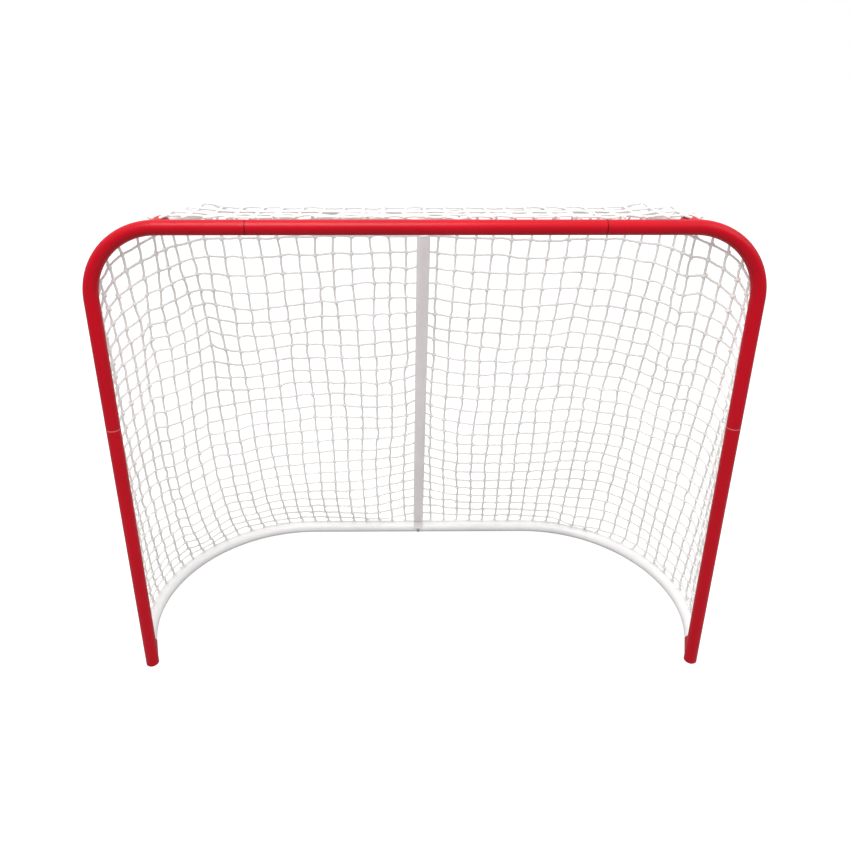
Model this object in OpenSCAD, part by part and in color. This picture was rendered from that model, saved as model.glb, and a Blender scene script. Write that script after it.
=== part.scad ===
// Sectional steel street hockey goal: red front frame, white base and top rails, centre bar and netting.
// X runs across the goal mouth, Y runs back from the goal line, Z is up. The origin is on the floor,
// at the middle of the goal's footprint. Modules work from the plane of the post axes, and placed() moves
// them back to that origin.

/* [Goal mouth] */
// Clear width between the posts
opening_w = 1371.6; // [1340:0.1:1400]
// Clear height from the floor to the underside of the crossbar
opening_h = 1117.6; // [1090:0.1:1140]
// Centreline radius of the two upper corners
corner_r = 152.4; // [145:0.1:158]

/* [Depth] */
// Floor depth, from the goal line to the outside of the base rail
base_depth = 609.6; // [590:0.1:630]
// Depth at the top, from the goal line to the outside of the top rail
top_depth = 228.6; // [222:0.1:240]
// Distance from the middle to the start of the base rail's big bends
base_flat_x = 345; // [335:1:352]
// Centreline radius of the top rail's bends
top_bend_r = 140; // [130:1:145]
// Distance of the top sockets from the middle
top_socket_x = 552; // [545:1:556]

/* [Tube] */
// Outside diameter of every frame tube
tube_d = 31.75; // [31:0.05:32.5]
// Wall thickness
wall = 1.3; // [1.25:0.05:1.5]
// Gap between a swaged end and the tube around it, on the radius
fit_gap = 0.15; // [0.1:0.05:0.25]
// Distance from the middle to the crossbar seams
seam_x = 366; // [360:1:380]
// Height of the post seams
seam_z = 680; // [665:1:695]
// Distance from the middle to the seam of the base and top rails
rail_seam_x = 12; // [11:0.5:13]
// Length of a swaged end in a straight seam
spigot_len = 50; // [46:1:56]
// Distance from a post's axis to the mouth of its rear socket
socket_len = 60; // [58:1:64]

/* [Spring buttons] */
// Radius of a button
button_r = 4; // [3.8:0.1:4.1]
// Height of a button above the tube
button_rise = 3; // [2.8:0.1:3.2]
// Distance from a button to the bend of its spring
spring_arm = 45; // [43:1:46]

/* [Netting] */
// Gap between the frame and the middle of the netting
net_gap = 9; // [8.5:0.5:10]
// Thickness of the netting
net_t = 1.2; // [1:0.1:3]
// Distance between the eyelets along the base rail
base_eyelet_pitch = 180; // [170:5:190]
// Distance between the eyelets along the top rail
top_eyelet_pitch = 150; // [140:5:160]

/* [Hidden] */
$fn = 48;
tube_r = tube_d / 2;
bore_r = tube_r - wall;
spigot_r = bore_r - fit_gap;
spigot_bore_r = spigot_r - wall;
post_x = opening_w / 2 + tube_r;
bar_z = opening_h + tube_r;
base_y = base_depth - tube_r;
top_y = top_depth - tube_r;
arc_x = post_x - corner_r;          // where the crossbar meets the corner bend
arc_z = bar_z - corner_r;           // where the post meets the corner bend
plug_t = 2.5;                       // height of a foot plug below its post
plug_len = 20;
low_socket_r = tube_r - 0.2;        // outside of the socket at a post's foot, dressed back after welding
socket_spigot_len = 40;
seam_gap = 0.5;
root_len = 8;                       // how far a spigot's root runs back inside the wall of its tube
button_x = 25;                      // from a seam to its button
button_y = 20;                      // from the mouth of a rear socket to its button
hole_r = button_r + 1;
eps = 0.5;                          // overlap that makes a cut run clean through

red = [0.72, 0.02, 0.07];
white = [0.93, 0.92, 0.92];
grey = [0.80, 0.78, 0.78];
steel = [0.62, 0.62, 0.64];

// Stanchion
tongue_t = 3.2;                     // two walls pressed flat
tongue_w = 28;
tongue_tip_r = 8;
tongue_len = 34;                    // from the bolt to the shoulder
shoulder_len = 16;                  // from the pressed end to the round tube
shoulder_lap = 0.3;                 // how far the shoulder stands proud of the parts it joins
rest_gap = 0.1;                     // between the rails and what is bolted to them
bolt_r = 3;
bolt_hole_r = 3.3;
foot_y = base_y - tube_r - rest_gap - tongue_t / 2;
head_y = top_y - tube_r - rest_gap - tongue_t / 2;
foot_z = tube_r + tongue_len + shoulder_len;
head_z = bar_z - tongue_len - shoulder_len;
bar_lean = atan((foot_y - head_y) / (head_z - foot_z));
bar_len = sqrt(pow(foot_y - head_y, 2) + pow(head_z - foot_z, 2));

// Rails: [start of the bend, depth, bend radius, angle turned]
base_dx = post_x - base_flat_x;
base_bend_r = (pow(base_dx, 2) + pow(base_y, 2) - pow(socket_len + seam_gap, 2)) / (2 * base_y);
base_splay = atan2(base_y - base_bend_r, base_dx) - atan2(socket_len + seam_gap, base_bend_r);
base_rail = [base_flat_x, base_y, base_bend_r, 90 + base_splay];
top_rail = [top_socket_x - top_bend_r, top_y, top_bend_r, 90];

// Border cord and its eyelets
cord_r = 2;
cord_y = tube_r + 2.6;              // from a tube's axis to the cord behind it
eyelet_ring_r = 6.6;
eyelet_wire_r = 1.6;
bar_eyelets = [-300, -150, 0, 150, 300];
post_eyelets = [120, 290, 460, 620];
corner_bar_eyelet = 460;
corner_post_eyelet = 830;
eyelet_tilt = 45;                   // how far the rails' eyelets are raised from their outer side
eyelet_margin = 60;                 // least distance from a rail's socket to its last eyelet

// ---------- button sites ----------
// Each site is [origin on the tube axis, direction towards the spring's bend, direction the button faces].
diag = sqrt(0.5);
function flip(s, v) = [s * v[0], v[1], v[2]];
function crossbar_site(s) =
    [flip(s, [seam_x - button_x, 0, bar_z]), flip(s, [1, 0, 0]), [0, diag, -diag]];
function post_site(s) =
    [flip(s, [post_x, 0, seam_z - button_x]), [0, 0, 1], flip(s, [diag, diag, 0])];
base_end_dir = [sin(base_splay), cos(base_splay), 0];
function base_site(s) = [
    flip(s, [post_x, 0, tube_r] + (socket_len - button_y) * base_end_dir),
    flip(s, base_end_dir), flip(s, [cos(base_splay), -sin(base_splay), 0])
];
function top_site(s) =
    [flip(s, [top_socket_x, socket_len - button_y, bar_z]), [0, 1, 0], [0, 0, -1]];
SITES = [
    for (s = [-1, 1]) each [crossbar_site(s), post_site(s), base_site(s), top_site(s)]
];

// Moves a shape drawn along +X, with +Z as its facing direction, to a site
module at_site(site) {
    a = site[1];
    c = site[2];
    b = cross(c, a);
    multmatrix([
        [a[0], b[0], c[0], site[0][0]],
        [a[1], b[1], c[1], site[0][1]],
        [a[2], b[2], c[2], site[0][2]],
        [0, 0, 0, 1]
    ]) children();
}

module button_hole(site) at_site(site) cylinder(h = tube_d, r = hole_r);

// ---------- tube shapes ----------
module ring_2d(outer, inner) difference() {
    circle(r = outer);
    circle(r = inner);
}

// A plain tube along +Z
module tube(len, outer = tube_r, inner = bore_r) linear_extrude(len) ring_2d(outer, inner);

// A bend about Z: it starts at [r, 0, 0] and turns towards +Y
module bend(r, turn = 90) rotate_extrude(angle = turn) translate([r, 0]) ring_2d(tube_r, bore_r);

// A reduced end along +Z, rooted in the wall of its own tube just behind the seam
module spigot(len) rotate_extrude() polygon([
    [spigot_bore_r, -root_len], [bore_r + wall / 2, -root_len], [bore_r + wall / 2, -1.5], [spigot_r, -0.5],
    [spigot_r, len], [spigot_bore_r, len]
]);

// A welded half-ring on the rear (+Y) of a tube that runs along Z
module eyelet() translate([0, tube_r, 0]) rotate([0, 0, -15])
    rotate_extrude(angle = 210, $fn = 24) translate([eyelet_ring_r, 0]) circle(r = eyelet_wire_r, $fn = 16);

// A rear socket, welded on a post or bar: it runs along +Y from the axis of a tube that runs along Z
module socket_tube(outer) difference() {
    rotate([-90, 0, 0]) tube(socket_len, outer);
    translate([0, 0, -tube_d]) cylinder(h = 2 * tube_d, r = tube_r - wall / 2);
}

// ---------- red front frame ----------
module crossbar_middle() difference() {
    union() {
        translate([-seam_x, 0, bar_z]) rotate([0, 90, 0]) tube(2 * seam_x);
        for (x = bar_eyelets) translate([x, 0, bar_z]) rotate([0, 90, 0]) eyelet();
    }
    for (s = [-1, 1]) button_hole(crossbar_site(s));
}

module corner() difference() {
    union() {
        translate([seam_x + seam_gap, 0, bar_z]) rotate([0, 90, 0]) tube(arc_x - seam_x - seam_gap);
        translate([arc_x, 0, arc_z]) rotate([90, 0, 0]) bend(corner_r);
        translate([post_x, 0, seam_z + seam_gap]) tube(arc_z - seam_z - seam_gap);
        translate([seam_x + seam_gap, 0, bar_z]) rotate([0, -90, 0]) spigot(spigot_len);
        translate([post_x, 0, seam_z + seam_gap]) rotate([180, 0, 0]) spigot(spigot_len);
        translate([top_socket_x, 0, bar_z]) rotate([0, 90, 0]) socket_tube(tube_r);
        translate([corner_bar_eyelet, 0, bar_z]) rotate([0, 90, 0]) eyelet();
        translate([post_x, 0, corner_post_eyelet]) eyelet();
        translate([arc_x, 0, arc_z]) rotate([0, 45, 0]) translate([0, 0, corner_r])
            rotate([0, 90, 0]) eyelet();
    }
    button_hole(crossbar_site(1));
    button_hole(post_site(1));
    button_hole(top_site(1));
}

module lower_post() difference() {
    union() {
        translate([post_x, 0, plug_t]) tube(seam_z - plug_t);
        translate([post_x, 0, tube_r]) rotate([0, 0, -base_splay]) socket_tube(low_socket_r);
        for (z = post_eyelets) translate([post_x, 0, z]) eyelet();
    }
    button_hole(post_site(1));
    button_hole(base_site(1));
}

// A moulded plug that fills the bottom of a post and stands on the floor
module foot_plug() translate([post_x, 0, 0]) rotate_extrude() polygon([
    [0, 0], [bore_r - 1, 0], [bore_r - 0.2, 0.8], [bore_r - 0.2, plug_len], [bore_r - 3, plug_len],
    [bore_r - 3, plug_t], [0, plug_t]
]);

// ---------- white rails ----------
// A rail's straight back and its quarter bend
module rail_quarter(rail, seam, z) {
    translate([seam, rail[1], z]) rotate([0, 90, 0]) tube(rail[0] - seam);
    translate([rail[0], rail[1] - rail[2], z]) bend(rail[2]);
}

// Half of the base rail: its big bend runs on past square, and ends at the splayed rear socket
module base_half(seam) {
    rail_quarter(base_rail, seam, tube_r);
    translate([base_rail[0], base_rail[1] - base_rail[2], tube_r]) {
        mirror([0, 1, 0]) bend(base_rail[2], base_splay);
        rotate([0, 0, -base_splay]) translate([base_rail[2], 0, 0]) rotate([90, 0, 0])
            spigot(socket_spigot_len);
    }
}

// Half of the top rail: a short straight runs from its bend to the rear socket
module top_half(seam) {
    end_len = top_rail[1] - top_rail[2] - socket_len - seam_gap;
    rail_quarter(top_rail, seam, bar_z);
    translate([top_socket_x, socket_len + seam_gap, bar_z]) {
        rotate([-90, 0, 0]) tube(end_len);
        rotate([90, 0, 0]) spigot(socket_spigot_len);
    }
}

// The bolt's hole through both walls of a rail
module bolt_hole(rail, z) translate([0, rail[1] - tube_d, z]) rotate([-90, 0, 0])
    cylinder(h = 2 * tube_d, r = bolt_hole_r);

// The right half overlaps the middle, and the left half's spigot runs inside it
module base_right() difference() {
    base_half(-rail_seam_x);
    button_hole(base_site(1));
    bolt_hole(base_rail, tube_r);
}

module base_left() mirror([1, 0, 0]) difference() {
    union() {
        base_half(rail_seam_x + seam_gap);
        translate([rail_seam_x + seam_gap, base_y, tube_r]) rotate([0, -90, 0]) spigot(spigot_len);
    }
    button_hole(base_site(1));
    bolt_hole(base_rail, tube_r);
}

module top_rail_right() difference() {
    top_half(-rail_seam_x);
    button_hole(top_site(1));
    bolt_hole(top_rail, bar_z);
}

module top_rail_left() mirror([1, 0, 0]) difference() {
    union() {
        top_half(rail_seam_x + seam_gap);
        translate([rail_seam_x + seam_gap, top_y, bar_z]) rotate([0, -90, 0]) spigot(spigot_len);
    }
    button_hole(top_site(1));
    bolt_hole(top_rail, bar_z);
}

// ---------- stanchion ----------
// Pressed end, drawn with its bolt at the origin, its plate in the XZ plane and its root towards +Z
module tongue() rotate([90, 0, 0]) translate([0, 0, -tongue_t / 2]) difference() {
    union() {
        cylinder(h = tongue_t, r = tongue_tip_r + 1);
        linear_extrude(tongue_t) polygon([
            [-tongue_tip_r, 0], [tongue_tip_r, 0], [tongue_w / 2, tongue_len * 0.55],
            [tongue_w / 2, tongue_len], [-tongue_w / 2, tongue_len], [-tongue_w / 2, tongue_len * 0.55]
        ]);
    }
    translate([0, 0, -eps]) cylinder(h = tongue_t + 2 * eps, r = bolt_hole_r);
}

// Shoulder between a pressed end and the round tube, which leans by tilt
module shoulder(tilt) hull() {
    translate([-tongue_w / 2 - shoulder_lap, -tongue_t / 2 - shoulder_lap, tongue_len - 1])
        cube([tongue_w + 2 * shoulder_lap, tongue_t + 2 * shoulder_lap, 2]);
    translate([0, 0, tongue_len + shoulder_len]) rotate([tilt, 0, 0])
        cylinder(h = 2, r = tube_r + shoulder_lap, $fn = 32);
}

module stanchion() {
    translate([0, foot_y, tube_r]) {
        tongue();
        shoulder(bar_lean);
    }
    translate([0, head_y, bar_z]) rotate([0, 180, 0]) {
        tongue();
        shoulder(-bar_lean);
    }
    translate([0, foot_y, foot_z]) rotate([bar_lean, 0, 0]) tube(bar_len);
}

// A round-headed bolt along +Y; its head seats on the front of the pressed end
bolt_len = tongue_t + tube_d + 5;
nut_t = 4;
module bolt() rotate([-90, 0, 0]) {
    cylinder(h = bolt_len, r = bolt_r);
    rotate_extrude() polygon([
        [0, -3], [3.5, -2.6], [5.6, -1.4], [6.2, -0.2], [6.2, -0.05],
        [bolt_r / 2, -0.05], [bolt_r / 2, 0.5], [0, 0.5]
    ]);
}

module stanchion_bolts() {
    translate([0, foot_y - tongue_t / 2, tube_r]) bolt();
    translate([0, head_y - tongue_t / 2, bar_z]) bolt();
}

module nut() rotate([-90, 0, 0]) difference() {
    cylinder(h = nut_t, r = 5.8, $fn = 6);
    translate([0, 0, -eps]) cylinder(h = nut_t + 2 * eps, r = bolt_r + 0.05);
}

module stanchion_nuts() {
    translate([0, base_y + tube_r + rest_gap, tube_r]) nut();
    translate([0, top_y + tube_r + rest_gap, bar_z]) nut();
}

// ---------- spring buttons ----------
// The spring is a V of strip in the XZ plane of its site, with its bend at [spring_arm, 0, 0]
strip_w = 8;
strip_t = 0.8;
leg_angle = 13;
pin_r = 1.6;
leg_start = pin_r + 1;              // from the bend's axis to the near end of a button's leg
leg_len = spring_arm + 6;
leg_z = spring_arm * tan(leg_angle);

// The leg that presses on the far wall, and the rolled bend
module spring_back(site) at_site(site) {
    translate([spring_arm, strip_w / 2, 0]) rotate([90, 0, 0]) cylinder(h = strip_w, r = pin_r);
    translate([spring_arm, -strip_w / 2, 0]) rotate([0, -leg_angle, 0])
        translate([-leg_len, 0, -strip_t / 2]) cube([leg_len, strip_w, strip_t]);
}

// The leg that carries the button, which swings about the bend
module button(site) at_site(site) {
    translate([spring_arm, -strip_w / 2, 0]) rotate([0, leg_angle, 0])
        translate([-leg_len, 0, -strip_t / 2]) cube([leg_len - leg_start, strip_w, strip_t]);
    translate([0, 0, leg_z]) cylinder(h = tube_r + button_rise - button_r - leg_z, r = button_r);
    translate([0, 0, tube_r + button_rise - button_r]) sphere(r = button_r);
}

// ---------- cords and ties ----------
// The cord on the net's front edge, threaded through the eyelets behind the posts, corners and crossbar.
// It is in three lengths, tied off beside the top sockets.
cord_end = 24;                      // from a top socket's axis to the end of the middle cord
cord_turn = 74;                     // how far the side cords follow the corner
cord_foot_z = 70;
module mouth_cord() translate([0, cord_y, 0]) {
    translate([cord_end - top_socket_x, 0, bar_z]) rotate([0, 90, 0])
        cylinder(h = 2 * (top_socket_x - cord_end), r = cord_r);
    for (s = [0, 1]) mirror([s, 0, 0]) {
        translate([arc_x, 0, arc_z]) rotate([90, 0, 0])
            rotate_extrude(angle = cord_turn) translate([corner_r, 0]) circle(r = cord_r);
        translate([post_x, 0, cord_foot_z]) cylinder(h = arc_z - cord_foot_z, r = cord_r);
    }
}

// A rail's centreline at distance s from the middle, and its heading there
function rail_arc(rail) = rail[2] * rail[3] * PI / 180;
function rail_turn(s, rail) = min(rail[3], max(0, (s - rail[0]) / rail[2] * 180 / PI));
function rail_xy(s, rail) =
    let (turn = rail_turn(s, rail), rest = max(0, s - rail[0] - rail_arc(rail)))
    [
        min(s, rail[0]) + rail[2] * sin(turn) + rest * cos(turn),
        rail[1] - rail[2] + rail[2] * cos(turn) - rest * sin(turn)
    ];
function rail_len(rail) =
    rail[0] + rail_arc(rail) + (rail[1] - rail[2] + rail[2] * cos(rail[3])) / sin(rail[3]);

// Welded eyelets on the raised outer side of a rail, from one socket round to the other
module rail_eyelets(rail, pitch, z) {
    for (m = [0, 1]) mirror([m, 0, 0])
        for (s = [pitch / 2 : pitch : rail_len(rail) - socket_len - eyelet_margin])
            translate([rail_xy(s, rail)[0], rail_xy(s, rail)[1], z])
                rotate([0, 0, -rail_turn(s, rail)]) rotate([eyelet_tilt, 0, 0]) rotate([0, 90, 0]) eyelet();
}

// The cord through a rail's eyelets, which carries the edge of the netting
module rail_cord(rail, z) {
    out = cord_y * cos(eyelet_tilt);
    up = cord_y * sin(eyelet_tilt);
    translate([-rail[0], rail[1] + out, z + up]) rotate([0, 90, 0]) cylinder(h = 2 * rail[0], r = cord_r);
    for (m = [0, 1]) mirror([m, 0, 0]) translate([rail[0], rail[1] - rail[2], z + up])
        rotate_extrude(angle = 90) translate([rail[2] + out, 0]) circle(r = cord_r);
}

// ---------- netting ----------
// The netting is a set of thin flat panels, each a little short of its neighbours
net_off = tube_r + net_gap;
net_low_z = 15;
net_high_z = bar_z + net_off;
panel_inset = 3.6;
low_post_z = tube_d + 25;           // clears the rear socket at a post's foot
front_y = cord_y + cord_r + 8;
turns = [0, 30, 60, 90];

// A panel's corners, drawn in so that every edge moves by at least panel_inset
function mean_of(pts) = [for (k = [0 : 2]) [for (p = pts) p[k]] * [for (p = pts) 1 / len(pts)]];
function edge_gap(c, a, b) = norm(cross(b - a, c - a)) / norm(b - a);
function drawn_in(pts) =
    let (
        c = mean_of(pts),
        n = len(pts),
        nearest = min([for (i = [0 : n - 1]) edge_gap(c, pts[i], pts[(i + 1) % n])])
    )
    [for (p = pts) c + (p - c) * (1 - panel_inset / nearest)];
function half_thickness(pts) =
    let (across = cross(pts[1] - pts[0], pts[2] - pts[0])) across / norm(across) * net_t / 2;

module panel(corners) {
    pts = drawn_in(corners);
    n = len(pts);
    half = half_thickness(pts);
    polyhedron(
        points = concat([for (p = pts) p - half], [for (p = pts) p + half]),
        faces = concat(
            [[for (i = [0 : n - 1]) i], [for (i = [n - 1 : -1 : 0]) n + i]],
            [for (i = [0 : n - 1]) [i, n + i, n + (i + 1) % n, (i + 1) % n]]
        )
    );
}

// A point of the netting beside the bend of a rail, at a heading
function beside(rail, turn, z) = [
    rail[0] + (rail[2] + net_off) * sin(turn), rail[1] - rail[2] + (rail[2] + net_off) * cos(turn), z
];

back_corners = [
    flip(-1, beside(base_rail, 0, net_low_z)), beside(base_rail, 0, net_low_z),
    beside(top_rail, 0, net_high_z), flip(-1, beside(top_rail, 0, net_high_z))
];
back_panel = drawn_in(back_corners);
middle_y = (back_panel[0][1] + abs(half_thickness(back_panel)[1]) - tube_r) / 2;

module netting_back() panel(back_corners);

module netting_side() {
    for (i = [0 : 2]) panel([
        beside(base_rail, turns[i], net_low_z), beside(base_rail, turns[i + 1], net_low_z),
        beside(top_rail, turns[i + 1], net_high_z), beside(top_rail, turns[i], net_high_z)
    ]);
    top_end = beside(top_rail, 90, net_high_z);
    low_wide = beside(base_rail, 90, net_low_z);
    low_post = [post_x + cord_r, front_y, low_post_z];
    high_post = [post_x + cord_r, front_y, arc_z];
    panel([top_end, low_wide, low_post]);
    panel([top_end, low_post, high_post]);
    panel([top_end, high_post, [top_end[0], front_y, net_high_z]]);
}

module netting_top() {
    edge = [for (turn = turns) beside(top_rail, turn, net_high_z)];
    front = [edge[3][0], front_y, net_high_z];
    panel(concat(
        [flip(-1, front)], [for (i = [3 : -1 : 0]) flip(-1, edge[i])], edge, [front]
    ));
}

// ---------- nodes ----------
module placed() translate([0, -middle_y, 0]) children();
module left() mirror([1, 0, 0]) children();

color(red) placed() crossbar_middle();
color(red) placed() left() corner();  // corner_left
color(red) placed() corner();  // corner_right
color(red) placed() left() lower_post();  // lower_post_left
color(red) placed() lower_post();  // lower_post_right
color(red) placed() left() foot_plug();  // foot_plug_left
color(red) placed() foot_plug();  // foot_plug_right
color(white) placed() base_left();
color(white) placed() base_right();
color(white) placed() top_rail_left();
color(white) placed() top_rail_right();
color(grey) placed() stanchion();
color(steel) placed() stanchion_bolts();
color(steel) placed() stanchion_nuts();
color(steel) placed() for (site = SITES) spring_back(site);  // button_springs
color(steel) placed() button(crossbar_site(-1));  // button_crossbar_left
color(steel) placed() button(crossbar_site(1));  // button_crossbar_right
color(steel) placed() button(post_site(-1));  // button_post_left
color(steel) placed() button(post_site(1));  // button_post_right
color(steel) placed() button(base_site(-1));  // button_base_left
color(steel) placed() button(base_site(1));  // button_base_right
color(steel) placed() button(top_site(-1));  // button_top_left
color(steel) placed() button(top_site(1));  // button_top_right
color(white) placed()  // base_eyelets
    rail_eyelets(base_rail, base_eyelet_pitch, tube_r);
color(white) placed()  // top_eyelets
    rail_eyelets(top_rail, top_eyelet_pitch, bar_z);
color(white) placed() mouth_cord();
color(white) placed() rail_cord(base_rail, tube_r);  // base_cord
color(white) placed() rail_cord(top_rail, bar_z);  // top_cord
color(white) placed() netting_back();
color(white) placed() left() netting_side();  // netting_side_left
color(white) placed() netting_side();  // netting_side_right
color(white) placed() netting_top();
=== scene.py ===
import math

import bpy
import numpy as np
from mathutils import Matrix, Vector


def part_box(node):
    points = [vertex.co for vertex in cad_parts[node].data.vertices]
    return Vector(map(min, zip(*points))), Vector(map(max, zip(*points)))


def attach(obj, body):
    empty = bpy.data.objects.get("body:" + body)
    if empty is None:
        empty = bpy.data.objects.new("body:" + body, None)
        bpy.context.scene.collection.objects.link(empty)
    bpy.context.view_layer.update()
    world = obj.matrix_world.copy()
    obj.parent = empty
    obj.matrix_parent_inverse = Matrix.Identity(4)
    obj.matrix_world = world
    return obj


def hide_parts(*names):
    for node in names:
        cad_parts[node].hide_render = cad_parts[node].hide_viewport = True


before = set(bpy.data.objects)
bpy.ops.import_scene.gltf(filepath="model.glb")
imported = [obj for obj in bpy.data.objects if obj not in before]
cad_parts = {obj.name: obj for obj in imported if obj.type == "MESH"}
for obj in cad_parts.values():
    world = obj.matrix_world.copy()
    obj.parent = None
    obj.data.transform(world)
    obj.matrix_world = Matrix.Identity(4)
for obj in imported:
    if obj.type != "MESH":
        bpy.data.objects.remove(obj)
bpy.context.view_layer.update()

# ---------- the frame's measures, in metres ----------
TUBE_R = 0.015875            # every frame tube
CORNER_R = 0.1524            # centreline of the mouth's upper corners
BASE_FLAT = 0.345            # half the straight part of the base rail
CORD_OUT = 0.0185            # from a tube's axis to the cord in its eyelets
CORD_R = 0.002
CORD_FOOT = 0.072            # the mouth cord's lower ends, above the floor
NET_FOOT = 0.05              # the net's lower corners, above the floor
CORNER_TURN = 74             # degrees of each upper corner that carry the net
BASE_TURN = 106              # degrees of the base rail's bend, past which it runs straight to the post
RAIL_OUT = CORD_OUT * math.sqrt(0.5)    # from a rail's axis to its cord, outwards and upwards alike

plug_low, plug_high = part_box("foot_plug_right")
bar_low, bar_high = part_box("crossbar_middle")
base_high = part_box("base_cord")[1]
top_low, top_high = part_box("top_cord")
POST_X = (plug_low.x + plug_high.x) / 2
GOAL_Y = (plug_low.y + plug_high.y) / 2
BAR_Z = (bar_low.z + bar_high.z) / 2
ARC_X = POST_X - CORNER_R
ARC_Z = BAR_Z - CORNER_R
BASE_Y = base_high.y - CORD_R - RAIL_OUT
BASE_R = base_high.x - CORD_R - RAIL_OUT - BASE_FLAT
TOP_Y = top_high.y - CORD_R - RAIL_OUT
TOP_X = top_high.x - CORD_R - RAIL_OUT
TOP_R = TOP_Y - top_low.y
TOP_FLAT = TOP_X - TOP_R
SEAM_X = bar_high.x
SEAM_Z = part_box("lower_post_right")[1].z

# ---------- the netting's measures and how it hangs ----------
CELL = 0.0435                # one side of a mesh
STRING_R = 0.0029
ROWS = 27                    # meshes from the base rail up to the top rail
KNOT_OUT = (0.1, 1, 0.2)     # the way a knot faces: mostly backwards
ROPE_LAY = 0.016             # length of one turn of a rope's strands
ROPE_KNOT = 0.0042           # a rope's end knot, half across
HANG = 1.6                   # the string's weight as an acceleration, light because knots hold it
DAMPING = 0.93               # share of its speed that a point keeps at each step
TIME_STEP = 0.006
LAST_PASSES = 60             # passes over every segment at the end, to take out the stretch
GATHER_U = 0.25              # where the left side's meshes are pulled together, across and up the net
GATHER_V = 0.78
rng = np.random.default_rng(7)


# ---------- paths ----------
def resample(points, count):
    """count points evenly spaced along a polyline."""
    p = np.asarray(points, float)
    s = np.concatenate([[0], np.cumsum(np.linalg.norm(np.diff(p, axis=0), axis=1))])
    t = np.linspace(0, s[-1], count)
    return np.stack([np.interp(t, s, p[:, k]) for k in range(3)], axis=1)


def path_length(path):
    """Length of a polyline."""
    return float(np.linalg.norm(np.diff(np.asarray(path), axis=0), axis=1).sum())


def arc_points(cx, cy, r, start, end, steps):
    """Points of a circle in plan, from one angle to another, in degrees."""
    a = np.radians(np.linspace(start, end, steps))
    return np.stack([cx + r * np.cos(a), cy + r * np.sin(a)], axis=1)


def rail_plan(flat, depth, r, turn, out, tail):
    """Plan of a rail from left to right, moved outwards by out; tail is its last point on the right."""
    bend = arc_points(flat, depth - r, r + out, 90, 90 - turn, 40)
    half = np.vstack([[[0, depth + out]], bend, [tail]])
    mirrored = half[::-1] * [-1, 1]
    return np.vstack([mirrored[:-1], half])


def lift(plan, z):
    """A plan path at one height."""
    return np.hstack([plan, np.full((len(plan), 1), z)])


def base_path():
    """The net's line on the base cord, from the left post round the back to the right post."""
    beside_post = (POST_X + 0.004, GOAL_Y + 0.03)
    return lift(rail_plan(BASE_FLAT, BASE_Y, BASE_R, BASE_TURN, RAIL_OUT, beside_post), TUBE_R + RAIL_OUT)


def top_path():
    """The net's line on the top cord, from corner to corner."""
    at_corner = (TOP_X + RAIL_OUT, GOAL_Y + CORD_OUT)
    return lift(rail_plan(TOP_FLAT, TOP_Y, TOP_R, 90, RAIL_OUT, at_corner), BAR_Z + RAIL_OUT)


def post_edge(side):
    """The net's edge up the back of one post."""
    y = GOAL_Y + CORD_OUT
    return np.array([[side * POST_X, y, NET_FOOT], [side * POST_X, y, ARC_Z]])


def corner_edge():
    """The back of the right corner, from the top of the post round towards the crossbar."""
    turn = np.radians(np.linspace(0, CORNER_TURN, 24))
    x = ARC_X + CORNER_R * np.cos(turn)
    z = ARC_Z + CORNER_R * np.sin(turn)
    return np.stack([x, np.full_like(x, GOAL_Y + CORD_OUT), z], axis=1)


def upper_edge():
    """The net's upper edge: round the left corner, the top rail and the right corner."""
    right = corner_edge()
    left = right * [-1, 1, 1]
    return np.vstack([left, top_path(), right[::-1]])


# ---------- string net simulation ----------
def pushed_off_rail(x, flat, depth, r, z):
    """Points inside a rail's tube are moved to just outside it."""
    gap = TUBE_R + STRING_R
    over = np.maximum(np.abs(x[:, 0]) - flat, 0)
    back = x[:, 1] - (depth - r)
    reach = np.maximum(np.hypot(over, back), 1e-6)
    out = reach - r
    up = x[:, 2] - z
    d = np.maximum(np.hypot(out, up), 1e-6)
    push = np.where((d < gap) & (back > 0), gap / d - 1, 0)
    shift = [push * out * np.sign(x[:, 0]) * over / reach, push * out * back / reach, push * up]
    return x + np.stack(shift, axis=1)


def pushed_off_bar(x):
    """Points inside the centre bar are moved to just outside it."""
    gap = TUBE_R + STRING_R
    foot = np.array([0, BASE_Y - TUBE_R, TUBE_R + 0.05])
    head = np.array([0, TOP_Y - TUBE_R, BAR_Z - 0.05])
    way = head - foot
    t = np.clip((x - foot) @ way / (way @ way), 0, 1)
    off = x - foot - t[:, None] * way
    d = np.maximum(np.linalg.norm(off, axis=1), 1e-6)
    return x + off * np.maximum(gap / d - 1, 0)[:, None]


def clear_of_frame(x):
    """Strings rest on the rails and the centre bar instead of passing through them."""
    x = pushed_off_rail(x, BASE_FLAT, BASE_Y, BASE_R, TUBE_R)
    return pushed_off_bar(pushed_off_rail(x, TOP_FLAT, TOP_Y, TOP_R, BAR_Z))


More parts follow.
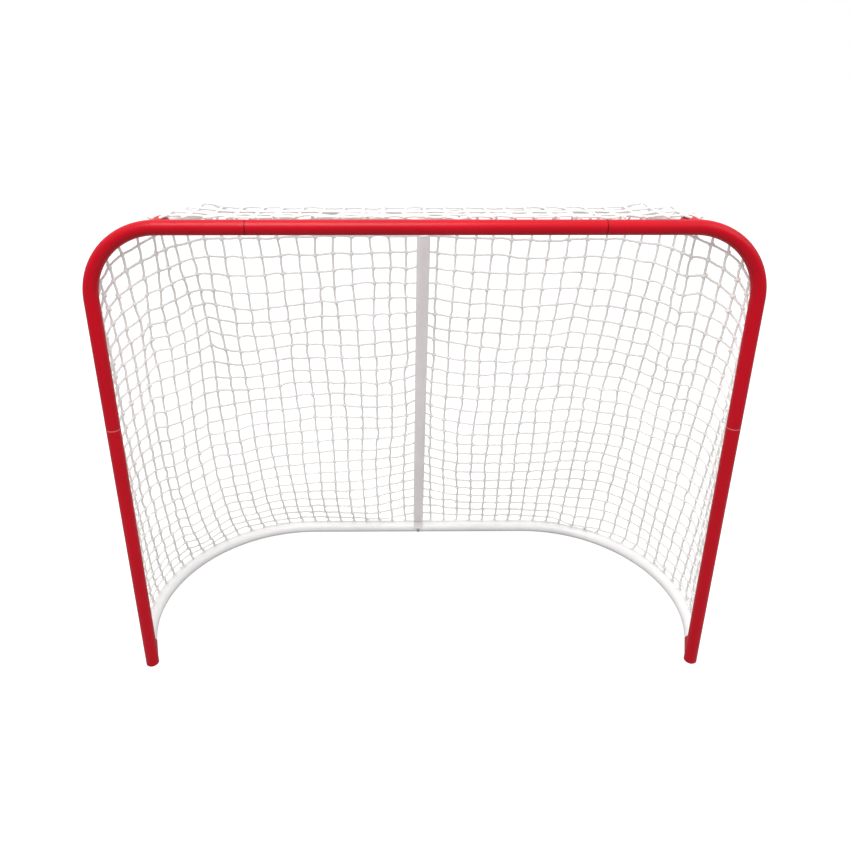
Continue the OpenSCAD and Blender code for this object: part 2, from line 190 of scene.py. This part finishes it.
class Strings:
    """Knots and string points joined by segments that can go slack but can't stretch."""

    def __init__(self):
        self.points = []
        self.fixed = []
        self.batches = [[], [], [], []]
        self.lengths = [[], [], [], []]
        self.lines = []

    def point(self, p, fixed):
        """Adds a point, tied to the frame or free, and gives its number."""
        self.points.append(p)
        self.fixed.append(fixed)
        return len(self.points) - 1

    def line(self, ids, lengths, way):
        """A run of points along one string; way is 0 for rows and 1 for columns."""
        for k in range(len(ids) - 1):
            self.batches[2 * way + k % 2].append((ids[k], ids[k + 1]))
            self.lengths[2 * way + k % 2].append(lengths[k])
        self.lines.append(ids)

    def shorten(self, x, free, pairs, rest):
        """One pass over every segment, pulling in those that are longer than their string."""
        for ab, r in zip(pairs, rest):
            a = ab[:, 0]
            b = ab[:, 1]
            d = x[b] - x[a]
            n = np.maximum(np.linalg.norm(d, axis=1), 1e-9)
            w = free[a] + free[b]
            over = np.where((n > r) & (w > 0), (n - r) / np.maximum(w, 1), 0)
            step = d * (over / n)[:, None]
            x[a] += step * free[a][:, None]
            x[b] -= step * free[b][:, None]

    def settle(self, steps, passes, push):
        """Lets the net hang under a light weight and a gentle push, heavily damped."""
        x = np.array(self.points, float)
        free = 1.0 - np.array(self.fixed, float)
        pairs = [np.array(b, int).reshape(-1, 2) for b in self.batches]
        rest = [np.array(r, float) for r in self.lengths]
        before = x.copy()
        pull = np.array([0, 0, -HANG]) + push(x)
        for _ in range(steps):
            move = (x - before) * DAMPING + pull * TIME_STEP ** 2
            before = x.copy()
            x = x + move * free[:, None]
            for _ in range(passes):
                self.shorten(x, free, pairs, rest)
            x = np.where(free[:, None] > 0, clear_of_frame(x), x)
        for _ in range(LAST_PASSES):
            self.shorten(x, free, pairs, rest)
            x = np.where(free[:, None] > 0, clear_of_frame(x), x)
        self.points = x


def smooth_noise(shape, cells, seed, size):
    """Soft random field from -size to size on a grid, to scale vectors by."""
    g = np.random.default_rng(seed).uniform(-1, 1, (cells[0] + 1, cells[1] + 1))
    u = np.linspace(0, cells[0] - 1e-6, shape[0])
    v = np.linspace(0, cells[1] - 1e-6, shape[1])
    i = u.astype(int)
    j = v.astype(int)
    fu = (u - i)[:, None]
    fv = (v - j)[None, :]
    fu = fu * fu * (3 - 2 * fu)
    fv = fv * fv * (3 - 2 * fv)
    a = g[i][:, j] * (1 - fu) + g[i + 1][:, j] * fu
    b = g[i][:, j + 1] * (1 - fu) + g[i + 1][:, j + 1] * fu
    return (a * (1 - fv) + b * fv)[:, :, None] * size


def unit(vectors):
    """Vectors on a grid, brought to length 1."""
    return vectors / np.maximum(np.linalg.norm(vectors, axis=2), 1e-9)[:, :, None]


def hill(t, place, width):
    """A smooth hump of height 1 at a place."""
    return np.exp(-((t - place) / width) ** 2)


def warped(grid):
    """The net's surface before it hangs: soft folds, a drift of the meshes and a little unevenness."""
    shape = grid.shape[:2]
    along = unit(np.gradient(grid, axis=0))
    up = unit(np.gradient(grid, axis=1))
    out = unit(np.cross(along, up))
    u = np.linspace(0, 1, shape[0])[:, None, None]
    v = np.linspace(0, 1, shape[1])[None, :, None]
    from_posts = np.minimum(u, 1 - u) * 10
    from_rails = np.minimum(v * 1.5, (1 - v) * 6)
    inside = np.clip(np.minimum(from_posts, from_rails), 0, 1)
    folds = smooth_noise(shape, (9, 4), 5, 0.024) + smooth_noise(shape, (20, 9), 6, 0.007)
    drift = smooth_noise(shape, (7, 4), 8, 0.026) + smooth_noise(shape, (30, 16), 9, 0.010)
    rise = smooth_noise(shape, (6, 5), 12, 0.016) + smooth_noise(shape, (36, 18), 13, 0.007)
    flat_at_bar = 1 - hill(u, 0.5, 0.045)
    gather = 0.030 * np.tanh((u - GATHER_U) / 0.03) * hill(u, GATHER_U, 0.11) * hill(v, GATHER_V, 0.25)
    return grid + inside * (out * folds * flat_at_bar + along * drift + up * (rise - gather))


def surface_at(grid, u, v):
    """A point of a surface given as a grid, at fractions of its width and height."""
    cols, rows = grid.shape[:2]
    x = min(max(u, 0), 1) * (cols - 1)
    y = min(max(v, 0), 1) * (rows - 1)
    i = min(int(x), cols - 2)
    j = min(int(y), rows - 2)
    fx = x - i
    fy = y - j
    low = grid[i, j] * (1 - fx) + grid[i + 1, j] * fx
    high = grid[i, j + 1] * (1 - fx) + grid[i + 1, j + 1] * fx
    return low * (1 - fy) + high * fy


def skirt_surface():
    """The surface round the back and sides, between the top rail, the base rail and the posts."""
    cols = 121
    rows = 61
    low = resample(base_path(), cols)
    high = resample(upper_edge(), cols)
    left = resample(post_edge(-1), rows)
    right = resample(post_edge(1), rows)
    low[0], low[-1], high[0], high[-1] = left[0], right[0], left[-1], right[-1]
    u = np.linspace(0, 1, cols)[:, None, None]
    v = np.linspace(0, 1, rows)[None, :, None]
    between_rails = (1 - v) * low[:, None] + v * high[:, None]
    between_posts = (1 - u) * left[None] + u * right[None]
    foot_line = (1 - u) * low[0] + u * low[-1]
    head_line = (1 - u) * high[0] + u * high[-1]
    grid = between_rails + between_posts - (1 - v) * foot_line - v * head_line
    return warped(grid), path_length(low) / 2, path_length(high) / 2


def skirt():
    """The netting round the back and sides: a regular mesh, cut along the posts where it narrows."""
    surface, half_low, half_high = skirt_surface()
    count = int(half_low / CELL)
    net = Strings()

    def place(s, v):
        half = half_low + (half_high - half_low) * v
        return surface_at(surface, 0.5 + 0.5 * s / half, v)

    ids = {}
    left_ends = []
    right_ends = []
    for j in range(ROWS + 1):
        v = j / ROWS
        half = half_low + (half_high - half_low) * v
        for i in range(-count, count + 1):
            if abs(i * CELL) < half - 0.3 * CELL:
                ids[i, j] = net.point(place(i * CELL, v), j in (0, ROWS))
        inner = [ids[i, j] for i in range(-count, count + 1) if (i, j) in ids]
        left_ends.append(net.point(place(-half, v), True))
        right_ends.append(net.point(place(half, v), True))
        add_string(net, [left_ends[-1]] + inner + [right_ends[-1]], 0)
    for i in range(-count, count + 1):
        run = [ids[i, j] for j in range(ROWS + 1) if (i, j) in ids]
        if (i, ROWS) not in ids:
            v = (half_low - abs(i) * CELL) / (half_low - half_high)
            run = run + [net.point(place(i * CELL, min(v, 1)), True)]
        add_string(net, run, 1)
    low_ends = [k for (i, j), k in ids.items() if j == 0]
    high_ends = [k for (i, j), k in ids.items() if j == ROWS]
    net.edge_ids = [left_ends, right_ends, low_ends, high_ends]
    net.inner_knots = [k for (i, j), k in ids.items() if 0 < j < ROWS]
    return net


def roof_depth(x):
    """How far back the top cord is at a distance x from the middle."""
    over = max(0.0, abs(x) - TOP_FLAT)
    reach = TOP_R + RAIL_OUT
    return TOP_Y - TOP_R + math.sqrt(max(0.0, reach * reach - over * over))


def roof_half_width(y):
    """How far from the middle the top cord is at a distance y back."""
    over = max(0.0, y - (TOP_Y - TOP_R))
    reach = TOP_R + RAIL_OUT
    return TOP_FLAT + math.sqrt(max(0.0, reach * reach - over * over))


def roof():
    """The netting over the top, from the crossbar to the top rail."""
    net = Strings()
    z = BAR_Z + RAIL_OUT
    front = GOAL_Y + CORD_OUT * 0.5
    edge_gap = 0.012
    half = TOP_X - edge_gap
    count = int(2 * half / CELL)
    xs = np.linspace(-half, half, count + 1)
    deepest = TOP_Y + RAIL_OUT
    ys = front + CELL * np.arange(1, int((deepest - front) / CELL + 0.35) + 1)
    ends = {}
    ids = {}
    for i, x in enumerate(xs):
        ids[i, -1] = net.point((x, front, BAR_Z + TUBE_R + 0.002), True)
        depth = roof_depth(x)
        for j, y in enumerate(ys):
            if y < depth - edge_gap:
                ids[i, j] = net.point((x, y, z), False)
        ends[i] = net.point((x, depth, z), True)
    for i, x in enumerate(xs):
        run = [ids[i, j] for j in range(-1, len(ys)) if (i, j) in ids] + [ends[i]]
        add_string(net, run, 1)
    for j, y in enumerate(ys):
        run = [ids[i, j] for i in range(count + 1) if (i, j) in ids]
        side_x = roof_half_width(y)
        if len(run) > 1:
            run = [net.point((-side_x, y, z), True)] + run + [net.point((side_x, y, z), True)]
            add_string(net, run, 0)
    net.inner_knots = [k for (i, j), k in ids.items() if j >= 0]
    return net


def add_string(net, run, way):
    """A string through a run of knots, hardly slack between them."""
    places = np.array([net.points[k] for k in run], float)
    spans = np.linalg.norm(np.diff(places, axis=0), axis=1)
    net.line(run, spans * rng.uniform(1.0003, 1.0023, len(spans)), way)


# ---------- mesh building ----------
class MeshData:
    """Collects vertices and faces for one object."""

    def __init__(self):
        self.verts = []
        self.faces = []
        self.count = 0

    def add(self, verts, faces):
        """Adds a block of vertices, with faces numbered from its own first vertex."""
        self.verts.append(np.asarray(verts, float))
        self.faces.append(np.asarray(faces, int) + self.count)
        self.count += len(verts)

    def build(self, name, smooth=True):
        """Makes the object, shaded smooth unless it is flat."""
        mesh = bpy.data.meshes.new(name)
        verts = np.vstack(self.verts)
        faces = [tuple(int(v) for v in f) for block in self.faces for f in block]
        mesh.from_pydata(verts.tolist(), [], faces)
        mesh.update()
        if smooth:
            mesh.polygons.foreach_set("use_smooth", [True] * len(mesh.polygons))
        obj = bpy.data.objects.new(name, mesh)
        bpy.context.scene.collection.objects.link(obj)
        return obj


def curve_through(points, per_span):
    """A smooth curve through points (Catmull-Rom)."""
    p = np.asarray(points, float)
    ext = np.vstack([2 * p[0] - p[1], p, 2 * p[-1] - p[-2]])
    t = np.linspace(0, 1, per_span, endpoint=False)[:, None]
    out = []
    for k in range(1, len(ext) - 2):
        a, b, c, d = ext[k - 1], ext[k], ext[k + 1], ext[k + 2]
        out.append(0.5 * (2 * b + (c - a) * t + (2 * a - 5 * b + 4 * c - d) * t ** 2
                          + (3 * b - a - 3 * c + d) * t ** 3))
    out.append(p[-1:])
    return np.vstack(out)


def sweep(data, path, radius, sides, phase=0.0):
    """Adds a round string along a path, with closed ends."""
    p = np.asarray(path, float)
    n = len(p)
    tangent = np.gradient(p, axis=0)
    tangent /= np.maximum(np.linalg.norm(tangent, axis=1), 1e-12)[:, None]
    up = np.array([0.0, 0.0, 1.0]) if abs(tangent[0][2]) < 0.9 else np.array([1.0, 0.0, 0.0])
    across = np.empty_like(p)
    v = up - tangent[0] * np.dot(up, tangent[0])
    across[0] = v / np.linalg.norm(v)
    for k in range(1, n):
        v = across[k - 1] - tangent[k] * np.dot(across[k - 1], tangent[k])
        across[k] = v / max(np.linalg.norm(v), 1e-12)
    other = np.cross(tangent, across)
    a = np.linspace(0, 2 * math.pi, sides, endpoint=False) + phase
    ring = across[:, None] * np.cos(a)[None, :, None] + other[:, None] * np.sin(a)[None, :, None]
    verts = (p[:, None] + ring * radius).reshape(-1, 3)
    k = np.arange(n - 1)[:, None] * sides
    s = np.arange(sides)[None]
    nxt = (s + 1) % sides
    quads = np.stack([k + s, k + nxt, k + sides + nxt, k + sides + s], axis=2).reshape(-1, 4)
    data.add(verts, quads)
    caps = [list(range(sides))[::-1], list(range((n - 1) * sides, n * sides))]
    data.faces.append(np.asarray(caps, int) + data.count - len(verts))


def rope(data, path):
    """Three twisted strands along a path, with a knot at each end."""
    p = resample(path, max(8, int(path_length(path) / (ROPE_LAY / 8))))
    tangent = np.gradient(p, axis=0)
    tangent /= np.linalg.norm(tangent, axis=1)[:, None]
    ref = np.array([0.31, 0.87, 0.38])
    a = np.cross(tangent, ref)
    a /= np.linalg.norm(a, axis=1)[:, None]
    b = np.cross(tangent, a)
    s = np.linspace(0, path_length(path), len(p)) / ROPE_LAY * 2 * math.pi
    for k in range(3):
        w = s + k * 2 * math.pi / 3
        strand = p + (a * np.cos(w)[:, None] + b * np.sin(w)[:, None]) * CORD_R * 0.5
        sweep(data, strand, CORD_R * 0.56, 6)
    add_knot(data, p[0], ROPE_KNOT, tangent[0])
    add_knot(data, p[-1], ROPE_KNOT, tangent[-1])


def knot_shape():
    """The bump of a knot: a low ball of string with a cross-wrapped waist."""
    rings = 5
    sides = 8
    verts = [(0, 0, -1)]
    for i in range(1, rings):
        lat = math.pi * i / rings - math.pi / 2
        for k in range(sides):
            a = 2 * math.pi * k / sides
            bulge = 1 + 0.16 * math.cos(2 * a + lat)
            reach = math.cos(lat) * bulge
            verts.append((reach * math.cos(a), reach * math.sin(a), math.sin(lat)))
    verts.append((0, 0, 1))
    faces = []
    for k in range(sides):
        n = (k + 1) % sides
        faces.append((0, 1 + n, 1 + k))
        for i in range(rings - 2):
            b = 1 + i * sides
            faces.append((b + k, b + n, b + sides + n, b + sides + k))
        b = 1 + (rings - 2) * sides
        faces.append((b + k, b + n, len(verts) - 1))
    return np.array(verts), faces


KNOT_VERTS, KNOT_FACES = knot_shape()


def add_knot(data, centre, size, axis):
    """A knot at a crossing, turned about a direction through the net."""
    z = np.asarray(axis, float)
    z = z / max(np.linalg.norm(z), 1e-9)
    x = np.cross(z, [0.3, 0.2, 0.93])
    x /= max(np.linalg.norm(x), 1e-9)
    y = np.cross(z, x)
    turn = rng.uniform(0, math.pi)
    c, s = math.cos(turn), math.sin(turn)
    base = np.stack([x * c + y * s, y * c - x * s, z])
    scale = np.array([1.15, 0.95, 0.72]) * size * rng.uniform(0.9, 1.12)
    verts = (KNOT_VERTS * scale) @ base + centre
    data.verts.append(verts)
    for face in KNOT_FACES:
        data.faces.append(np.array([face]) + data.count)
    data.count += len(verts)


def net_object(name, net):
    """Strings and knots as one mesh."""
    data = MeshData()
    points = np.asarray(net.points)
    for ids in net.lines:
        knots = points[ids]
        mid = (knots[1:] + knots[:-1]) / 2 + rng.normal(0, 0.0013, (len(ids) - 1, 3))
        bowed = np.empty((2 * len(ids) - 1, 3))
        bowed[::2] = knots
        bowed[1::2] = mid
        path = curve_through(bowed, 3)
        sweep(data, path + rng.normal(0, 0.00015, path.shape), STRING_R, 6, rng.uniform(0, 1))
    for k in net.inner_knots:
        add_knot(data, points[k], STRING_R * 2.0, KNOT_OUT)
    return data.build(name)


def loop_round(data, centre, tangent, out, inner):
    """A mesh's end threaded round a cord: a small loop of string."""
    t = np.asarray(tangent, float) / np.linalg.norm(tangent)
    o = np.asarray(out, float)
    o = o - t * np.dot(o, t)
    o /= np.linalg.norm(o)
    q = np.cross(t, o)
    turns = 1.6
    steps = 20
    a = np.linspace(0, 2 * math.pi * turns, steps)
    drift = np.linspace(-0.002, 0.002, steps)[:, None] * t
    path = np.asarray(centre) + inner * (np.cos(a)[:, None] * o + np.sin(a)[:, None] * q) + drift
    sweep(data, path, STRING_R * 0.9, 6)


# ---------- materials ----------
BLACK = (0, 0, 0, 1)
WHITE = (1, 1, 1, 1)


def new_material(name):
    """A material with one shader joined to its output."""
    m = bpy.data.materials.new(name)
    m.use_nodes = True
    nodes = m.node_tree.nodes
    nodes.clear()
    out = nodes.new("ShaderNodeOutputMaterial")
    shader = nodes.new("ShaderNodeBsdfPrincipled")
    m.node_tree.links.new(shader.outputs[0], out.inputs[0])
    return m, nodes, m.node_tree.links, shader


def noise(nodes, links, coord, scale, detail=4.0, rough=0.55):
    """A noise texture's value over the object's own coordinates."""
    n = nodes.new("ShaderNodeTexNoise")
    n.inputs["Scale"].default_value = scale
    n.inputs["Detail"].default_value = detail
    n.inputs["Roughness"].default_value = rough
    links.new(coord, n.inputs["Vector"])
    return n.outputs["Fac"]


def ramp(nodes, links, value, stops):
    """A colour for a value, by stops of place and colour."""
    r = nodes.new("ShaderNodeValToRGB")
    r.color_ramp.elements[0].position = stops[0][0]
    r.color_ramp.elements[0].color = stops[0][1]
    r.color_ramp.elements[1].position = stops[-1][0]
    r.color_ramp.elements[1].color = stops[-1][1]
    for pos, colour in stops[1:-1]:
        e = r.color_ramp.elements.new(pos)
        e.color = colour
    links.new(value, r.inputs["Fac"])
    return r.outputs["Color"]


def bump(nodes, links, shader, height, strength, distance):
    """Fine relief on a shader from a height value."""
    b = nodes.new("ShaderNodeBump")
    b.inputs["Strength"].default_value = strength
    b.inputs["Distance"].default_value = distance
    links.new(height, b.inputs["Height"])
    links.new(b.outputs["Normal"], shader.inputs["Normal"])


def object_coord(nodes):
    """The object's own coordinates."""
    return nodes.new("ShaderNodeTexCoord").outputs["Object"]


def math_node(nodes, links, operation, first, second=None):
    """One arithmetic step on a value."""
    n = nodes.new("ShaderNodeMath")
    n.operation = operation
    links.new(first, n.inputs[0])
    if second is not None:
        n.inputs[1].default_value = second
    return n.outputs[0]


def near(nodes, links, value, place, reach):
    """1 where a coordinate's size is within reach of a place."""
    size = math_node(nodes, links, "ABSOLUTE", value)
    off = math_node(nodes, links, "ABSOLUTE", math_node(nodes, links, "SUBTRACT", size, place))
    return math_node(nodes, links, "LESS_THAN", off, reach)


def mixed(nodes, links, factor, first, colour):
    """A colour laid over another where the factor says so."""
    mix = nodes.new("ShaderNodeMix")
    mix.data_type = "RGBA"
    links.new(factor, mix.inputs["Factor"])
    links.new(first, mix.inputs["A"])
    mix.inputs["B"].default_value = colour
    return mix.outputs["Result"]


def seam_shade_and_highlight(nodes, links, coord, colour):
    """The chamfered ends of the tubes, painted: painted shade in the crossbar's seam gaps, a thin painted
    highlight round the posts' seams.
    """
    axes = nodes.new("ShaderNodeSeparateXYZ")
    links.new(coord, axes.inputs["Vector"])
    # masks for the painted shade in the crossbar's seam gaps and the painted highlight round the posts'
    # seams
    bar_gap_shade = near(nodes, links, axes.outputs["X"], SEAM_X, 0.0011)
    post_seam_highlight = near(nodes, links, axes.outputs["Z"], SEAM_Z, 0.0012)
    with_gap_shade = mixed(nodes, links, bar_gap_shade, colour, (0.14, 0.0, 0.004, 1))
    return mixed(nodes, links, post_seam_highlight, with_gap_shade, (0.62, 0.16, 0.18, 1))


def shade(colour, factor):
    """A colour made darker, with full alpha."""
    return tuple(c * factor for c in colour) + (1,)


def paint(name, tone, gloss, coat, seams=False):
    """Powder coat: slight colour drift, orange-peel texture, fine scuffs and a clear sheen; with seams,
    painted shade and highlight at the tube seams.
    """
    m, nodes, links, shader = new_material(name)
    coord = object_coord(nodes)
    stops = [(0.35, shade(tone, 0.9)), (0.7, shade(tone, 1))]
    drift = ramp(nodes, links, noise(nodes, links, coord, 6.0), stops)
    scuff = ramp(nodes, links, noise(nodes, links, coord, 55.0, 8.0, 0.7), [(0.69, BLACK), (0.76, WHITE)])
    colour = mixed(nodes, links, scuff, drift, shade(tone, 0.76))
    # painted light at the seams: shade in the crossbar's gaps, a highlight round the posts
    if seams:
        colour = seam_shade_and_highlight(nodes, links, coord, colour)
    links.new(colour, shader.inputs["Base Color"])
    rough = nodes.new("ShaderNodeMapRange")
    links.new(noise(nodes, links, coord, 18.0, 3.0), rough.inputs["Value"])
    rough.inputs["To Min"].default_value = gloss - 0.05
    rough.inputs["To Max"].default_value = gloss + 0.08
    links.new(rough.outputs["Result"], shader.inputs["Roughness"])
    shader.inputs["Coat Weight"].default_value = coat
    shader.inputs["Coat Roughness"].default_value = 0.2
    shader.inputs["Specular IOR Level"].default_value = 0.16
    bump(nodes, links, shader, noise(nodes, links, coord, 700.0, 2.0), 0.12, 0.0004)
    return m


def plastic(name, colour):
    """Moulded plug plastic with a fine grain and floor dirt."""
    m, nodes, links, shader = new_material(name)
    coord = object_coord(nodes)
    stops = [(0.4, shade(colour, 0.6)), (0.65, shade(colour, 1))]
    links.new(ramp(nodes, links, noise(nodes, links, coord, 90.0, 6.0), stops), shader.inputs["Base Color"])
    shader.inputs["Roughness"].default_value = 0.45
    bump(nodes, links, shader, noise(nodes, links, coord, 1800.0, 2.0), 0.2, 0.0003)
    return m


def metal(name, colour, rough):
    """Plated steel: soft cloudy tone and fine brushing."""
    m, nodes, links, shader = new_material(name)
    coord = object_coord(nodes)
    stops = [(0.35, shade(colour, 0.7)), (0.65, shade(colour, 1))]
    cloud = noise(nodes, links, coord, 160.0, 5.0)
    links.new(ramp(nodes, links, cloud, stops), shader.inputs["Base Color"])
    shader.inputs["Metallic"].default_value = 1.0
    vary = nodes.new("ShaderNodeMapRange")
    links.new(noise(nodes, links, coord, 420.0, 3.0), vary.inputs["Value"])
    vary.inputs["To Min"].default_value = rough - 0.08
    vary.inputs["To Max"].default_value = rough + 0.12
    links.new(vary.outputs["Result"], shader.inputs["Roughness"])
    bump(nodes, links, shader, noise(nodes, links, coord, 2600.0, 2.0), 0.15, 0.0002)
    return m


def string_material(name, tone, fibre, painted_glow):
    """White cord: fibres across the lay, soft sheen, slight soiling and a painted glow that makes it
    lighter than its lighting.
    """
    m, nodes, links, shader = new_material(name)
    coord = object_coord(nodes)
    stops = [(0.3, shade(tone, 0.81)), (0.72, shade(tone, 1))]
    links.new(ramp(nodes, links, noise(nodes, links, coord, 9.0, 5.0), stops), shader.inputs["Base Color"])
    shader.inputs["Roughness"].default_value = 0.72
    shader.inputs["Sheen Weight"].default_value = 0.25
    # painted light: a faint emission makes the cord glow, though nothing in it gives light
    shader.inputs["Emission Color"].default_value = shade(tone, 1)
    shader.inputs["Emission Strength"].default_value = painted_glow
    wave = nodes.new("ShaderNodeTexWave")
    wave.wave_type = "BANDS"
    wave.bands_direction = "DIAGONAL"
    wave.inputs["Scale"].default_value = fibre
    wave.inputs["Distortion"].default_value = 3.0
    wave.inputs["Detail"].default_value = 2.0
    links.new(coord, wave.inputs["Vector"])
    bump(nodes, links, shader, wave.outputs["Fac"], 0.55, 0.0006)
    return m


def camera_ray(nodes):
    """1 for what the camera sees directly, 0 for light that bounces."""
    return nodes.new("ShaderNodeLightPath").outputs["Is Camera Ray"]


def floor_material(name):
    """A pale studio floor that reads white to the camera and keeps a faint contact shadow."""
    m, nodes, links, shader = new_material(name)
    coord = object_coord(nodes)
    stops = [(0.3, shade(WHITE[:3], 0.34)), (0.7, shade(WHITE[:3], 0.36))]
    links.new(ramp(nodes, links, noise(nodes, links, coord, 1.5, 3.0), stops), shader.inputs["Base Color"])
    shader.inputs["Roughness"].default_value = 0.8
    shader.inputs["Specular IOR Level"].default_value = 0.1
    shader.inputs["Emission Color"].default_value = WHITE
    brightness = math_node(nodes, links, "MULTIPLY", camera_ray(nodes), 0.9)
    links.new(brightness, shader.inputs["Emission Strength"])
    return m


def dress(nodes_named, material):
    """Gives CAD nodes a material."""
    for n in nodes_named:
        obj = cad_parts[n]
        obj.data.materials.clear()
        obj.data.materials.append(material)


# ---------- cords ----------
def mouth_cord_piece(material):
    """The ropes in the eyelets behind the mouth frame: one up each side and one along the crossbar."""
    data = MeshData()
    y = GOAL_Y + CORD_OUT
    for side in (-1, 1):
        path = np.vstack([post_edge(1), corner_edge()[1:]]) * [side, 1, 1]
        path[0][2] = CORD_FOOT
        rope(data, path)
    end = TOP_X - 0.026
    rope(data, [(-end, y, BAR_Z), (0, y, BAR_Z), (end, y, BAR_Z)])
    obj = data.build("mouth_cord_rope")
    obj.data.materials.append(material)
    return obj


def rail_cord_piece(name, path, material):
    """The rope in a rail's eyelets, knotted at both ends."""
    data = MeshData()
    rope(data, path)
    obj = data.build(name)
    obj.data.materials.append(material)
    return obj


def cord_run(flat, depth, r, z):
    """The line of a rail's cord."""
    bend = arc_points(flat, depth - r, r + RAIL_OUT, 90, 0, 40)
    half = np.vstack([[[0, depth + RAIL_OUT]], bend])
    return lift(np.vstack([(half[::-1] * [-1, 1])[:-1], half]), z + RAIL_OUT)


def lacing_piece(name, net, edges, material):
    """The meshes' ends looped round the cords."""
    data = MeshData()
    points = np.asarray(net.points)
    for ids in edges:
        line = points[ids]
        along = np.gradient(line, axis=0)
        for k in range(len(ids)):
            loop_round(data, line[k], along[k], (0.1, 1, 0.3), CORD_R + STRING_R)
            add_knot(data, line[k] + [0, 0.003, 0], STRING_R * 2.1, KNOT_OUT)
    obj = data.build(name)
    obj.data.materials.append(material)
    return obj


# ---------- assembly ----------
# the red coat carries the painted seam shade and seam highlight
red = paint("red_powder_coat", (0.51, 0.0, 0.010), 0.34, 0.08, seams=True)
white = paint("white_powder_coat", (0.93, 0.92, 0.92), 0.3, 0.4)
grey = paint("bar_powder_coat", (0.97, 0.92, 0.93), 0.38, 0.2)
dress(["crossbar_middle", "corner_left", "corner_right", "lower_post_left", "lower_post_right"], red)
dress(["base_left", "base_right", "top_rail_left", "top_rail_right", "base_eyelets", "top_eyelets"], white)
dress(["stanchion"], grey)
dress(["foot_plug_left", "foot_plug_right"], plastic("foot_plastic", (0.22, 0.004, 0.012)))
dress(["stanchion_bolts", "stanchion_nuts"], metal("zinc_plate", (0.62, 0.62, 0.64), 0.34))
spring = metal("spring_steel", (0.50, 0.50, 0.53), 0.28)
dress([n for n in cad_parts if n.startswith("button_")], spring)

# the last number is each cord's painted glow, an emission strength
string = string_material("net_string", (0.84, 0.815, 0.795), 300.0, 0.17)
cord = string_material("edge_cord", (0.92, 0.90, 0.89), 420.0, 0.1)


def breeze(strength):
    """A still, uneven push that keeps the hanging net from being flat."""
    def push(x):
        broad = np.sin(x[:, 0] * 5.1 + 0.7) * np.cos(x[:, 2] * 4.3 + x[:, 0] * 2.1)
        fine = 0.4 * np.sin(x[:, 0] * 11.0 + x[:, 2] * 9.0)
        w = broad + fine
        return np.stack([0.25 * w, w, 0 * w], axis=1) * strength
    return push


side_net = skirt()
roof_net = roof()
side_net.settle(160, 14, breeze(1.0))
roof_net.settle(60, 10, breeze(0.3))
side_piece = net_object("netting_skirt", side_net)
roof_piece = net_object("netting_roof", roof_net)
side_piece.data.materials.append(string)
roof_piece.data.materials.append(string)
lacing = lacing_piece("net_edge_loops", side_net, side_net.edge_ids, string)
mouth_rope = mouth_cord_piece(cord)
base_rope = rail_cord_piece("base_cord_rope", cord_run(BASE_FLAT, BASE_Y, BASE_R, TUBE_R), cord)
top_rope = rail_cord_piece("top_cord_rope", cord_run(TOP_FLAT, TOP_Y, TOP_R, BAR_Z), cord)

for piece in (side_piece, roof_piece, lacing, mouth_rope, base_rope, top_rope):
    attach(piece, "root")
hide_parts("netting_back", "netting_side_left", "netting_side_right")
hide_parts("netting_top")
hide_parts("mouth_cord")
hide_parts("base_cord")
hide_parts("top_cord")


# ---------- floor, light and camera ----------
def floor():
    data = MeshData()
    size = 30.0
    data.add([(-size, -size, 0), (size, -size, 0), (size, size, 0), (-size, size, 0)], [(0, 1, 2, 3)])
    obj = data.build("floor", smooth=False)
    obj.location.z = -0.0004
    obj.data.materials.append(floor_material("pale_floor"))


def area_light(name, place, target, size, power):
    light = bpy.data.lights.new(name, "AREA")
    light.shape = "RECTANGLE"
    light.size = size
    light.size_y = size
    light.energy = power
    obj = bpy.data.objects.new(name, light)
    obj.location = place
    aim = Vector(target) - Vector(place)
    obj.rotation_euler = aim.to_track_quat("-Z", "Y").to_euler()
    bpy.context.scene.collection.objects.link(obj)


def surroundings():
    """A white studio: the room seen by the camera is white, and lights the goal softly, more from above."""
    world = bpy.data.worlds.new("studio")
    world.use_nodes = True
    nodes = world.node_tree.nodes
    links = world.node_tree.links
    background = nodes["Background"]
    height = nodes.new("ShaderNodeSeparateXYZ")
    links.new(nodes.new("ShaderNodeTexCoord").outputs["Generated"], height.inputs["Vector"])
    stops = [(0.0, shade(WHITE[:3], 0.43)), (1.0, shade(WHITE[:3], 1.22))]
    room = ramp(nodes, links, height.outputs["Z"], stops)
    links.new(mixed(nodes, links, camera_ray(nodes), room, WHITE), background.inputs["Color"])
    background.inputs["Strength"].default_value = 1.0
    bpy.context.scene.world = world
    area_light("key", (-0.6, -1.6, 3.4), (0, 0.1, 0.6), 1.8, 75)
    area_light("fill", (2.2, -1.2, 2.4), (0, 0.1, 0.5), 1.6, 14)


def camera():
    """At the viewing angle of the photo: in front, above and a little to the left, looking down."""
    cam = bpy.data.cameras.new("camera")
    cam.sensor_width = 36.0
    cam.lens = 31.17
    cam.shift_x = 0.0179
    cam.shift_y = -0.0598
    obj = bpy.data.objects.new("camera", cam)
    bpy.context.scene.collection.objects.link(obj)
    pitch = math.radians(22.32)
    yaw = math.radians(0.49)
    roll = math.radians(0.06)
    obj.matrix_world = (
        Matrix.Translation((-0.046, GOAL_Y - 1.494, 1.425))
        @ Matrix.Rotation(-yaw, 4, "Z")
        @ Matrix.Rotation(math.pi / 2 - pitch, 4, "X")
        @ Matrix.Rotation(roll, 4, "Z")
    )
    bpy.context.scene.camera = obj


floor()
surroundings()
camera()
bpy.context.scene.view_settings.view_transform = "Standard"
